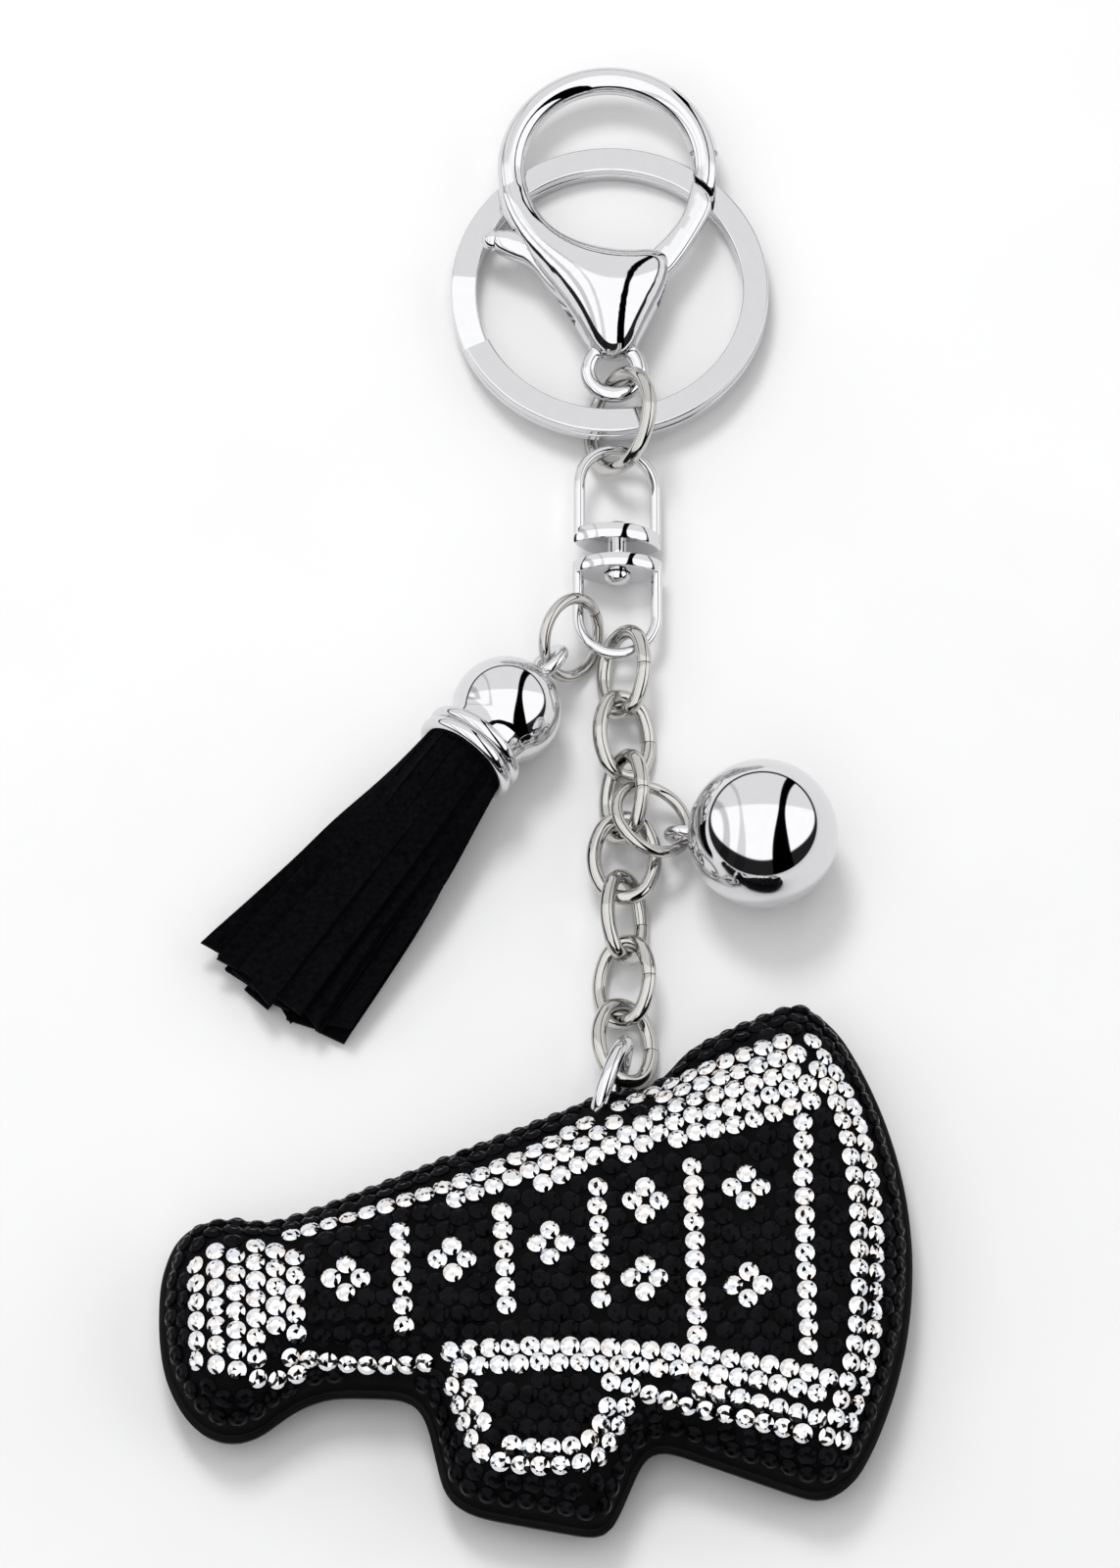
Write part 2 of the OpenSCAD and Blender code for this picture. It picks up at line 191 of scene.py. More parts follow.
def resin_cloth():
    """Dark cloth with a film of glue, seen between the stones."""
    material = new_material("glued_cloth", Specular_IOR_Level=0.06)
    vary_colour(material, add_noise(material, 700.0), (0.0008, 0.0008, 0.001), (0.002, 0.002, 0.0025))
    vary_roughness(material, add_noise(material, 900.0), 0.55, 0.8)
    add_bump(material, add_noise(material, 2600.0, 3.0), 0.4, 0.05)
    return material


def black_glass():
    material = new_material("black_stone", Specular_IOR_Level=0.05)
    vary_colour(material, add_noise(material, 450.0, 1.0), (0.0008, 0.0008, 0.0012), (0.0045, 0.0045, 0.006))
    vary_roughness(material, add_noise(material, 800.0), 0.06, 0.2)
    return material


def foiled_glass():
    """Clear stone over silver foil: bright facets with a faint warm and cool fire."""
    material = new_material("clear_stone", Metallic=1.0, Coat_Weight=0.6, Coat_Roughness=0.02)
    vary_colour(material, add_noise(material, 620.0, 1.0), (0.84, 0.8, 0.77), (0.78, 0.81, 0.86), 0.35, 0.65)
    vary_roughness(material, add_noise(material, 800.0), 0.03, 0.1)
    return material


def suede():
    material = new_material("black_suede", Sheen_Weight=0.05, Sheen_Roughness=0.5, Specular_IOR_Level=0.03)
    material.node_tree.nodes["Principled BSDF"].inputs["Sheen Tint"].default_value = (0.12, 0.12, 0.14, 1)
    vary_colour(material, add_noise(material, 1800.0, 6.0), (0.0008, 0.0008, 0.001), (0.0035, 0.0035, 0.0045))
    vary_roughness(material, add_noise(material, 900.0), 0.8, 0.98)
    add_bump(material, add_noise(material, 5200.0, 5.0), 0.5, 0.04)
    return material


def wadding():
    material = new_material("wadding", Roughness=0.95)
    vary_colour(material, add_noise(material, 900.0, 8.0), (0.75, 0.75, 0.73), (0.92, 0.92, 0.9))
    add_bump(material, add_noise(material, 1500.0, 6.0), 0.6, 0.2)
    return material


CHROME = chrome("chrome", (0.72, 0.72, 0.735), 0.03, 0.07, 0.03)
NICKEL = chrome("nickel_wire", (0.56, 0.55, 0.53), 0.03, 0.08, 0.04)
SPRING = chrome("spring_steel", (0.55, 0.55, 0.57), 0.15, 0.3, 0.1)
LEATHER = leather()
CLOTH = resin_cloth()
BLACK_STONE = black_glass()
CLEAR_STONE = foiled_glass()
SUEDE = suede()
WADDING = wadding()


# ---------------------------------------------------------------- camera, floor and light

VIEW_ELEVATION = math.radians(68)
VIEW_HEIGHT = 156.9
VIEW_CENTRE = Vector((2.38, 2.6, 0))
CAMERA_DISTANCE = 2600.0


def set_camera():
    camera = bpy.data.cameras.new("camera")
    camera.sensor_fit = "VERTICAL"
    camera.sensor_height = 24
    camera.lens = 24 * CAMERA_DISTANCE / VIEW_HEIGHT
    camera.clip_end = 20
    holder = bpy.data.objects.new("camera", camera)
    bpy.context.scene.collection.objects.link(holder)
    back = Vector((0, -math.cos(VIEW_ELEVATION), math.sin(VIEW_ELEVATION)))
    holder.location = (VIEW_CENTRE + back * CAMERA_DISTANCE) * MM
    holder.rotation_euler = back.to_track_quat("Z", "Y").to_euler()
    bpy.context.scene.camera = holder
    bpy.context.scene.view_settings.view_transform = "Standard"


def set_floor():
    material = new_material("paper_floor", Roughness=0.9, Specular_IOR_Level=0.05)
    vary_colour(material, add_noise(material, 40.0), (0.72, 0.72, 0.723), (0.74, 0.74, 0.743))
    size = 3000
    corners = [(-size, -size, 0), (size, -size, 0), (size, size, 0), (-size, size, 0)]
    make_piece("floor", corners, [(0, 1, 2, 3)], material)


def add_area(name, energy, size, place, aim=(0, 0, 0)):
    light = bpy.data.lights.new(name, "AREA")
    light.energy = energy
    light.size = size * MM
    holder = bpy.data.objects.new(name, light)
    bpy.context.scene.collection.objects.link(holder)
    holder.location = Vector(place) * MM
    holder.rotation_euler = (Vector(place) - Vector(aim)).to_track_quat("Z", "Y").to_euler()
    holder.visible_glossy = False


class Mix:
    """Small helper that chains math nodes on single numbers."""

    def __init__(self, tree):
        self.nodes, self.links = tree.nodes, tree.links

    def math(self, operation, *values):
        node = self.nodes.new("ShaderNodeMath")
        node.operation = operation
        for socket, value in zip(node.inputs, values):
            if isinstance(value, (int, float)):
                socket.default_value = value
            else:
                self.links.new(value, socket)
        return node.outputs[0]

    def ramp(self, value, low, high, start, stop):
        """Smooth step from start to stop while the value goes from low to high."""
        node = self.nodes.new("ShaderNodeMapRange")
        node.interpolation_type = "SMOOTHSTEP"
        for name, number in (("From Min", low), ("From Max", high), ("To Min", start), ("To Max", stop)):
            node.inputs[name].default_value = number
        self.links.new(value, node.inputs["Value"])
        return node.outputs["Result"]


def set_world():
    """A white tent with a dark strip, a grey wall on the far side and a dark near horizon."""
    world = bpy.data.worlds.new("studio")
    bpy.context.scene.world = world
    world.use_nodes = True
    tree = world.node_tree
    nodes, links = tree.nodes, tree.links
    nodes.clear()
    mix = Mix(tree)
    place = nodes.new("ShaderNodeTexCoord")
    split = nodes.new("ShaderNodeSeparateXYZ")
    links.new(place.outputs["Generated"], split.inputs[0])
    x, y, z = (split.outputs[axis] for axis in "XYZ")
    near = mix.ramp(y, -0.9, 0.4, 1, 0)
    light = mix.ramp(y, 0.38, 0.44, 1.36, 0.98)
    horizon = mix.math("MULTIPLY_ADD", near, 0.38, 0.05)
    above = mix.math("SUBTRACT", z, horizon)
    light = mix.math("MULTIPLY", light, mix.ramp(above, -0.01, 0.05, 0.015, 1))
    for centre, width, spread, soft, left in ((0.46, 0.065, 0.15, 0.02, 0.0), (-0.53, 0.005, 0.08, 0.04, 0.7),
                                              (-0.84, 0.02, 0.03, 0.04, 0.6)):
        off = mix.math("ABSOLUTE", mix.math("SUBTRACT", x, centre))
        half = mix.math("MULTIPLY_ADD", near, spread, width)
        strip = mix.ramp(mix.math("SUBTRACT", off, half), 0, soft, left, 1)
        light = mix.math("MULTIPLY", light, strip)
    tent = nodes.new("ShaderNodeBackground")
    links.new(light, tent.inputs["Color"])
    plain = nodes.new("ShaderNodeBackground")
    plain.inputs["Color"].default_value = (1, 1, 1, 1)
    path = nodes.new("ShaderNodeLightPath")
    choose = nodes.new("ShaderNodeMixShader")
    out = nodes.new("ShaderNodeOutputWorld")
    links.new(path.outputs["Is Camera Ray"], choose.inputs[0])
    links.new(tent.outputs[0], choose.inputs[1])
    links.new(plain.outputs[0], choose.inputs[2])
    links.new(choose.outputs[0], out.inputs["Surface"])


# ---------------------------------------------------------------- wire parts

def ring_frames(centre, radius, axis, start, turn, steps):
    """Frames round a ring: across points outwards and up is the ring's axis."""
    axis = Vector(axis).normalized()
    side = axis.orthogonal().normalized()
    other = axis.cross(side)
    frames = []
    for t in np.linspace(start, start + turn, steps):
        out = side * math.cos(t) + other * math.sin(t)
        frames.append((Vector(centre) + out * radius, out, axis))
    return frames


def node_points(node):
    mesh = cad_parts[node].data
    points = np.zeros(len(mesh.vertices) * 3)
    mesh.vertices.foreach_get("co", points)
    return points.reshape(-1, 3) / MM


def fit_ring(node):
    """Centre, axis, centreline radius and wire radius of a CAD ring, from its own points."""
    points = node_points(node)
    centre = (points.max(0) + points.min(0)) / 2
    _, vectors = np.linalg.eigh(np.cov((points - centre).T))
    axis = vectors[:, 0]
    flat = (points - centre) @ axis
    far = np.linalg.norm((points - centre) - np.outer(flat, axis), axis=1)
    wire = (flat.max() - flat.min()) / 2
    return centre, axis, far.max() - wire, wire


def jump_ring(node, body, gap_towards, material=NICKEL):
    """A wire ring bent from cut wire, with its hairline cut on one side."""
    centre, axis, radius, wire = fit_ring(node)
    axis = Vector(axis)
    side = axis.orthogonal().normalized()
    other = axis.cross(side)
    towards = Vector(gap_towards)
    start = math.atan2(towards.dot(other), towards.dot(side))
    gap = 0.16 / radius
    count = 96
    frames = ring_frames(centre, radius, axis, start + gap / 2, 2 * math.pi - gap, count)
    verts, faces = sweep(frames, lambda k: cut_ends(wire, count, k), False)
    piece = make_piece(node + "_wire", verts, faces, material)
    smooth_by_angle(piece, 50)
    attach(piece, body)
    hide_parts(node)
    return piece


LINK_END_R = 2.65
LINK_WIRE = 1.5


def chain_link(number):
    """An oval link bent from wire, with its cut at the middle of one long side."""
    node = f"chain_link_{number}"
    points = node_points(node)
    centre = (points.max(0) + points.min(0)) / 2
    values, vectors = np.linalg.eigh(np.cov((points - centre).T))
    up, across, along = (Vector(vectors[:, k]) for k in range(3))
    spread = [(points - centre) @ vectors[:, k] for k in range(3)]
    half_length = (spread[2].max() - spread[2].min()) / 2
    half_width = (spread[1].max() - spread[1].min()) / 2
    wire = LINK_WIRE / 2
    end_y = half_length - wire - LINK_END_R
    side_r = 2 * (end_y + LINK_END_R / 2)
    offset = half_width - wire - side_r
    count = 110
    frames = []
    for a in np.linspace(math.radians(0.35), 2 * math.pi - math.radians(0.35), count):
        out_x, out_y = math.cos(a), math.sin(a)
        if abs(out_x) >= math.cos(math.radians(30)):
            x, y, r = math.copysign(offset, out_x), 0, side_r
            x = offset if out_x > 0 else -offset
        else:
            x, y, r = 0, math.copysign(end_y, out_y), LINK_END_R
        out = across * out_x + along * out_y
        frames.append((Vector(centre) + across * x + along * y + out * r, out, up))
    verts, faces = sweep(frames, lambda k: cut_ends(wire, count, k), False)
    piece = make_piece(node + "_wire", verts, faces, NICKEL)
    smooth_by_angle(piece, 50)
    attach(piece, f"link_{number}")
    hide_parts(node)


KEY_RING_D = 32.0
KEY_RING_FACE = 2.6
KEY_RING_COIL = 1.1
COIL_GAP = 0.1
RAMP = math.radians(30)
KEY_RING_CENTRE = Vector((7.4, 54.85, 0))
KEY_RING_TILT = math.radians(3.7)
KEY_RING_START = math.radians(175)


def soft_box(w, h, soft):
    """A rectangle with rounded corners, and spare points that keep its sides flat in the shading."""
    section = []
    for cx, cy, first in ((1, 1, 0), (-1, 1, 90), (-1, -1, 180), (1, -1, 270)):
        before, after = (0, -0.05), (-0.05, 0)
        corner = []
        for t in (0, 22.5, 45, 67.5, 90):
            angle = math.radians(first + t)
            corner.append((cx * (w - soft) + soft * math.cos(angle), cy * (h - soft) + soft * math.sin(angle)))
        turn = math.radians(first)
        spin = lambda p: (p[0] * math.cos(turn) - p[1] * math.sin(turn), p[0] * math.sin(turn) + p[1] * math.cos(turn))
        b, a = spin(before), spin(after)
        section.append((corner[0][0] + b[0], corner[0][1] + b[1]))
        section += corner
        section.append((corner[-1][0] + a[0], corner[-1][1] + a[1]))
    return section


def split_ring():
    """Two turns of flat, softly bevelled wire with square-cut ends."""
    section = soft_box(KEY_RING_FACE / 2, KEY_RING_COIL / 2, 0.2)
    tilt = Matrix.Rotation(-KEY_RING_TILT, 3, "X")
    pivot = KEY_RING_CENTRE + Vector((0, KEY_RING_D / 2, 0))
    end = 4 * math.pi - RAMP
    frames = []
    for a in np.linspace(0, end, 460):
        rise = (KEY_RING_COIL + COIL_GAP) * max(0, min(1, (a - 2 * math.pi) / RAMP + 1))
        t = KEY_RING_START - a
        out = Vector((math.cos(t), math.sin(t), 0))
        local = Vector((0, -KEY_RING_D / 2, KEY_RING_COIL / 2 + rise)) + out * ((KEY_RING_D - KEY_RING_FACE) / 2)
        frames.append((pivot + tilt @ local, tilt @ out, tilt @ Vector((0, 0, 1))))
    verts, faces = sweep(frames, section, False)
    piece = make_piece("key_ring_wire", verts, faces, CHROME)
    smooth_by_angle(piece, 40)
    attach(piece, "split_ring")
    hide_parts("key_ring")


def lathe(profile, steps=64):
    """A profile of (radius, height) turned about the local Y axis."""
    verts, faces = [], []
    for r, y in profile:
        verts += [Vector((r * math.cos(t), y, r * math.sin(t))) for t in np.linspace(0, 2 * math.pi, steps, False)]
    for i in range(len(profile) - 1):
        faces += [(i * steps + j, i * steps + (j + 1) % steps, (i + 1) * steps + (j + 1) % steps, (i + 1) * steps + j)
                  for j in range(steps)]
    faces += [tuple(range(steps)), tuple((len(profile) - 1) * steps + j for j in range(steps))]
    return verts, faces


def arc_points(centre, radius, start, stop, count):
    """Points on an arc, with angles in degrees from the first axis."""
    return [(centre[0] + radius * math.cos(t), centre[1] + radius * math.sin(t))
            for t in np.radians(np.linspace(start, stop, count))]


def chrome_piece(name, shape, place, body, node=None, crease=35):
    verts, faces = shape
    piece = make_piece(name, [place @ Vector(v) for v in verts], faces, CHROME)
    smooth_by_angle(piece, crease)
    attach(piece, body)
    if node:
        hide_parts(node)
    return piece


def turned(*degrees):
    """Rotation about X, then Y, then Z, as the CAD turns its parts."""
    x, y, z = (math.radians(d) for d in degrees)
    return Matrix.Rotation(z, 4, "Z") @ Matrix.Rotation(y, 4, "Y") @ Matrix.Rotation(x, 4, "X")


def bail(name, node, body, plate_y, plate_t, arch, turn):
    """A swivel bail: a lens-shaped plate with a wire arch through its two ends."""
    half, rise, leg, wire = 4.5, 2.7, 3.93, 0.575
    lens_r = (half * half + rise * rise) / (2 * rise)
    reach = math.degrees(math.asin(half / lens_r))
    top = arc_points((0, rise - lens_r), lens_r, 90 - reach, 90 + reach, 40)
    outline = top + [(-x, -z) for x, z in top[1:-1]]
    soft, levels = 0.16, []
    for y, shrink in ((-1, 0.25), (-1, 0.16), (-0.92, 0.05), (-0.8, 0), (0.8, 0), (0.92, 0.05), (1, 0.16), (1, 0.25)):
        levels.append((y * plate_t / 2, 1 - shrink / half, 1 - shrink / rise))
    n = len(outline)
    verts = [Vector((x * sx, y, z * sz)) for y, sx, sz in levels for x, z in outline]
    faces = [(i * n + j, i * n + (j + 1) % n, (i + 1) * n + (j + 1) % n, (i + 1) * n + j)
             for i in range(len(levels) - 1) for j in range(n)]
    faces += [tuple(range(n)), tuple((len(levels) - 1) * n + j for j in range(n))]
    place = Matrix.Translation(Vector((8.13, plate_y, 3.3))) @ turned(*turn)
    chrome_piece(name + "_plate", (verts, faces), place, body, node, 30)
    path = [(Vector((-leg, y, 0)), Vector((-1, 0, 0))) for y in np.linspace(0, arch, 6, False)]
    for t in np.linspace(math.pi, 0, 40):
        path.append((Vector((leg * math.cos(t), arch + leg * math.sin(t), 0)), Vector((math.cos(t), math.sin(t), 0))))
    path += [(Vector((leg, y, 0)), Vector((1, 0, 0))) for y in np.linspace(arch, 0, 7)[1:]]
    frames = [(point, out, Vector((0, 0, 1))) for point, out in path]
    chrome_piece(name + "_arch", sweep(frames, circle(wire, 20), False), place, body)


def swivel():
    bail("upper_bail", "swivel_upper_bail", "upper_bail", 27.725, 1.65, 5.695, (0, 14, 0))
    bail("lower_bail", "swivel_lower_bail", "lower_bail", 24.625, 1.45, 5.375, (0, 0, 180))


def turned_parts():
    """The rivet, the tassel cap with its bands and eye, and the ball with its eye."""
    dome = [(0.02, 1), (0.55, 0.95), (0.95, 0.8), (1.22, 0.5), (1.33, 0.15), (1.33, 0)]
    rivet = [(r, 23.8 - h) for r, h in dome] + [(0.6, 23.8), (0.6, 28.55)] + [(r, 28.55 + h) for r, h in dome[::-1]]
    chrome_piece("rivet_turned", lathe(rivet, 48), Matrix.Translation(Vector((8.13, 0, 3.3))), "upper_bail", "swivel_rivet")
    cap = Matrix.Translation(Vector((-3, 8.25, 5.6))) @ turned(0, 0, -36.87) @ turned(-8, 0, 0)
    profile = [(3.95, -2.9), (3.95, -7.6), (4.3, -7.6)]
    profile += arc_points((4.65, -6.85), 0.75, -90, 90, 14) + arc_points((4.65, -5.35), 0.75, -90, 90, 14)[1:]
    profile += [(4.5, -4.4), (4.47, -3.9), (4.5, -3.4)] + arc_points((0, 0), 5.5, -33, 89.5, 40)
    chrome_piece("tassel_cap_turned", lathe(profile, 80), cap, "tassel", "tassel_cap", 30)
    axis = (math.sin(math.radians(125)), 0, math.cos(math.radians(125)))
    eye = ring_frames((0, 7.05, 0), 1.75, axis, 0, 2 * math.pi * 59 / 60, 60)
    chrome_piece("tassel_cap_eye", sweep(eye, circle(0.65, 20), True), cap, "tassel")
    ball = Matrix.Translation(Vector((22.58, -5.76, 7.5))) @ turned(0, 29.1, 169.9)
    chrome_piece("ball_polished", lathe(arc_points((0, 0), 7.5, -89.5, 89.5, 90), 120), ball, "ball", "ball_shell")
    loop = ring_frames((8.95, 0, 0), 1.65, (0, 1, 0), 0, 2 * math.pi * 59 / 60, 60)
    chrome_piece("ball_loop", sweep(loop, circle(0.55, 20), True), ball, "ball", "ball_eye")


# ---------------------------------------------------------------- flat shapes blown up from an outline

class Outline:
    """A closed outline and the distance of points inside it from its edge."""

    def __init__(self, points):
        self.points = np.asarray(points, float)
        self.next = np.roll(self.points, -1, axis=0)

    def distance(self, xy):
        """Signed distance, positive inside."""
        xy = np.atleast_2d(xy)
        best = np.full(len(xy), 1e9)
        inside = np.zeros(len(xy), bool)
        for a, b in zip(self.points, self.next):
            ab = b - a
            t = np.clip(((xy - a) @ ab) / max(ab @ ab, 1e-12), 0, 1)
            best = np.minimum(best, np.linalg.norm(xy - a - t[:, None] * ab, axis=1))
            crosses = (a[1] > xy[:, 1]) != (b[1] > xy[:, 1])
            with np.errstate(divide="ignore", invalid="ignore"):
                x_at = a[0] + (xy[:, 1] - a[1]) * ab[0] / ab[1]
            inside ^= crosses & (xy[:, 0] < x_at)
        return np.where(inside, best, -best)

    def resampled(self, step):
        """The outline walked at even steps."""
        lengths = np.linalg.norm(self.next - self.points, axis=1)
        total = lengths.sum()
        count = max(8, int(round(total / step)))
        marks = np.concatenate([[0], np.cumsum(lengths)])
        out = []
        for s in np.linspace(0, total, count, False):
            k = min(np.searchsorted(marks, s, side="right") - 1, len(lengths) - 1)
            t = (s - marks[k]) / max(lengths[k], 1e-12)
            out.append(self.points[k] * (1 - t) + self.next[k] * t)
        return np.array(out)


def chaikin(points, rounds):
    """Corner cutting, which rounds a closed outline."""
    points = np.asarray(points, float)
    for _ in range(rounds):
        following = np.roll(points, -1, axis=0)
        points = np.stack([points * 0.75 + following * 0.25, points * 0.25 + following * 0.75], 1).reshape(-1, 2)
    return points


def inside_mesh(outline, edge_step, grid_step, ring_depths):
    """Triangles that fill an outline, with fine rings near its edge and a regular net inside."""
    edge = outline.resampled(edge_step)
    count = len(edge)
    tangent = np.roll(edge, -1, axis=0) - np.roll(edge, 1, axis=0)
    tangent /= np.linalg.norm(tangent, axis=1)[:, None]
    normal = np.stack([-tangent[:, 1], tangent[:, 0]], 1)
    if outline.distance(edge + normal * 0.05).mean() < 0:
        normal = -normal
    points = [edge]
    for depth in ring_depths:
        ring = edge + normal * depth
        points.append(ring[outline.distance(ring) > depth * 0.97])
    low, high = edge.min(0), edge.max(0)
    xs = np.arange(low[0], high[0], grid_step)
    ys = np.arange(low[1], high[1], grid_step * 0.866)
    net = np.array([(x + (j % 2) * grid_step / 2, y) for j, y in enumerate(ys) for x in xs])
    points.append(net[outline.distance(net) > ring_depths[-1] + grid_step * 0.6])
    points = np.concatenate(points)
    edges = [(i, (i + 1) % count) for i in range(count)]
    result = delaunay_2d_cdt([Vector(p) for p in points], edges, [], 1, 1e-6)
    flat = np.array([tuple(v) for v in result[0]])
    return flat, [tuple(f) for f in result[2]]


def blur(grid, passes):
    for _ in range(passes):
        for axis in (0, 1):
            grid = (np.roll(grid, 1, axis) + 2 * grid + np.roll(grid, -1, axis)) / 4
    return grid


class Puff:
    """Height of a stuffed shape over its outline: round at the edge and crowned in the middle."""

    def __init__(self, outline, rise, rim, crown, crown_rim, inset=0.0, step=0.4, passes=14):
        self.outline, self.rise, self.rim, self.inset = outline, rise, rim, inset
        self.low = outline.points.min(0) - 4
        size = ((outline.points.max(0) + 4 - self.low) / step).astype(int) + 1
        gx, gy = np.meshgrid(np.arange(size[0]), np.arange(size[1]), indexing="ij")
        xy = self.low + np.stack([gx.ravel(), gy.ravel()], 1) * step
        depth = np.maximum(outline.distance(xy) - inset, 0)
        body = (rise - crown) * self.round(depth / rim)
        dome = crown * self.round(depth / crown_rim)
        self.step = step
        self.crown, self.crown_rim = crown, crown_rim
        self.grid = blur((body + dome).reshape(size), passes)

    @staticmethod
    def round(t):
        return np.sqrt(np.maximum(0, 1 - (1 - np.minimum(t, 1)) ** 2))

    def __call__(self, xy):
        xy = np.atleast_2d(xy)
        depth = np.maximum(self.outline.distance(xy) - self.inset, 0)
        near = (self.rise - self.crown) * self.round(depth / self.rim)
        near = near + self.crown * self.round(depth / self.crown_rim)
        cell = (xy - self.low) / self.step
        i = np.clip(cell.astype(int), 0, np.array(self.grid.shape) - 2)
        f = cell - i
        g = self.grid
        far = (g[i[:, 0], i[:, 1]] * (1 - f[:, 0]) * (1 - f[:, 1]) + g[i[:, 0] + 1, i[:, 1]] * f[:, 0] * (1 - f[:, 1])
               + g[i[:, 0], i[:, 1] + 1] * (1 - f[:, 0]) * f[:, 1] + g[i[:, 0] + 1, i[:, 1] + 1] * f[:, 0] * f[:, 1])
        mix = np.clip((depth - 0.4) / 2.2, 0, 1)
        mix = mix * mix * (3 - 2 * mix)
        return near * (1 - mix) + far * mix

    def normal(self, xy):
        xy = np.atleast_2d(xy)
        d = 0.15
        dx = (self(xy + [d, 0]) - self(xy - [d, 0])) / (2 * d)
        dy = (self(xy + [0, d]) - self(xy - [0, d])) / (2 * d)
        n = np.stack([-dx, -dy, np.ones(len(xy))], 1)
        return n / np.linalg.norm(n, axis=1)[:, None]


def membrane(outline, step=0.15, sweeps=2500):
    """Height of a cast shape: the root of a membrane blown up over its outline."""
    low = outline.points.min(0) - 0.6
    size = ((outline.points.max(0) + 0.6 - low) / step).astype(int) + 1
    gx, gy = np.meshgrid(np.arange(size[0]), np.arange(size[1]), indexing="ij")
    xy = low + np.stack([gx.ravel(), gy.ravel()], 1) * step
    inside = (outline.distance(xy) > 0).reshape(size)
    phi = np.zeros(size)
    for _ in range(sweeps):
        around = (np.roll(phi, 1, 0) + np.roll(phi, -1, 0) + np.roll(phi, 1, 1) + np.roll(phi, -1, 1)) / 4
        phi = np.where(inside, around + step * step / 2, 0)
    return low, step, phi


def sample(grid_low, step, grid, xy):
    cell = (np.atleast_2d(xy) - grid_low) / step
    i = np.clip(cell.astype(int), 0, np.array(grid.shape) - 2)
    f = np.clip(cell - i, 0, 1)
    a, b = i[:, 0], i[:, 1]
    return (grid[a, b] * (1 - f[:, 0]) * (1 - f[:, 1]) + grid[a + 1, b] * f[:, 0] * (1 - f[:, 1])
            + grid[a, b + 1] * (1 - f[:, 0]) * f[:, 1] + grid[a + 1, b + 1] * f[:, 0] * f[:, 1])


# ---------------------------------------------------------------- the pad

def seam_outline():
    """The pad's outline, read from the CAD cover's open edge at the seam."""
    low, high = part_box("pad_front_cover")
    seam = low.z / MM
    points = node_points("pad_front_cover")
    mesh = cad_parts["pad_front_cover"].data
    bm = bmesh.new()
    bm.from_mesh(mesh)
    bmesh.ops.remove_doubles(bm, verts=bm.verts, dist=1e-6)
    bm.normal_update()
    follow = {}
    for edge in bm.edges:
        if len(edge.link_faces) != 2:
            continue
        if any(abs(v.co.z / MM - seam) > 1e-3 for v in edge.verts):
            continue
        flat = [abs(f.normal.z) > 0.99 for f in edge.link_faces]
        if flat[0] == flat[1]:
            continue
        wall = edge.link_faces[0] if not flat[0] else edge.link_faces[1]
        loop = next(l for l in wall.loops if l.edge == edge)
        follow[loop.vert.index] = loop.link_loop_next.vert.index
    bm.verts.ensure_lookup_table()
    loops = []
    while follow:
        start, here = next(iter(follow.items()))
        chain = [start]
        del follow[start]
        while here != start and here in follow:
            chain.append(here)
            here = follow.pop(here)
        loops.append([tuple(c / MM for c in bm.verts[k].co[:2]) for k in chain])
    bm.free()
    span = lambda loop: np.ptp(np.array(loop)[:, 0])
    edge = Outline(max(loops, key=span)).resampled(0.8)
    for _ in range(6):
        edge = (np.roll(edge, 1, axis=0) + 2 * edge + np.roll(edge, -1, axis=0)) / 4
    return seam, Outline(edge)


SEAM_Z, PAD = seam_outline()
PAD_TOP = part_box("pad_front_cover")[1].z / MM
FRONT = Puff(PAD, PAD_TOP - SEAM_Z - 0.6, 7.5, 1.3, 17.0, inset=0.55)
BACK = Puff(PAD, SEAM_Z, 4.2, 0.2, 12.0)
RING_CENTRE, RING_AXIS, RING_R, RING_WIRE = fit_ring("charm_ring")


def pad_cover(name, puff, side, material, node):
    """One cover of the pad: a thin shell puffed over the outline, with its edge brought down to the seam."""
    flat, faces = inside_mesh(PAD, 0.55, 1.1, (0.06, 0.2, 0.45, 0.85, 1.4, 2.1, 2.9))
    heights = puff(flat)
    edge = PAD.distance(flat) < 1e-3
    heights[edge] = 0
    verts = [(x, y, SEAM_Z + side * h) for (x, y), h in zip(flat, heights)]
    piece = make_piece(name, verts, faces, material)
    solid = piece.modifiers.new("thickness", "SOLIDIFY")
    solid.thickness = 0.35 * MM
    solid.offset = -1
    apply_modifiers(piece)
    fix_normals(piece)
    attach(piece, "pad")
    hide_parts(node)
    return piece


def pad_wadding():
    """Loose filling in the space between the covers, clear of the ring's tunnel."""
    flat, faces = inside_mesh(PAD, 1.0, 1.8, (1.0, 2.4, 3.6))
    depth = PAD.distance(flat)
    near_ring = [min(ring_distance((x, y, z)) for z in np.arange(0.5, 12, 0.5)) < RING_WIRE + 0.8 for x, y in flat]
    keep = (depth > 2.3) & ~np.array(near_ring)
    faces = [f for f in faces if all(keep[i] for i in f)]
    count = len(flat)
    verts = [(x, y, SEAM_Z + h * 0.9 - 0.7) for (x, y), h in zip(flat, FRONT(flat))]
    verts += [(x, y, SEAM_Z - h * 0.9 + 0.8) for (x, y), h in zip(flat, BACK(flat))]
    rim = outline_order(None, faces)
    faces = faces + [tuple(count + i for i in f[::-1]) for f in faces] + [(a, b, count + b, count + a) for a, b in rim]
    used = sorted({i for f in faces for i in f})
    number = {old: new for new, old in enumerate(used)}
    piece = make_piece("wadding", [verts[i] for i in used], [tuple(number[i] for i in f) for f in faces], WADDING)
    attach(piece, "pad")
    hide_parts("pad_filling")


def apply_modifiers(piece):
    depsgraph = bpy.context.evaluated_depsgraph_get()
    mesh = bpy.data.meshes.new_from_object(piece.evaluated_get(depsgraph))
    piece.modifiers.clear()
    piece.data = mesh


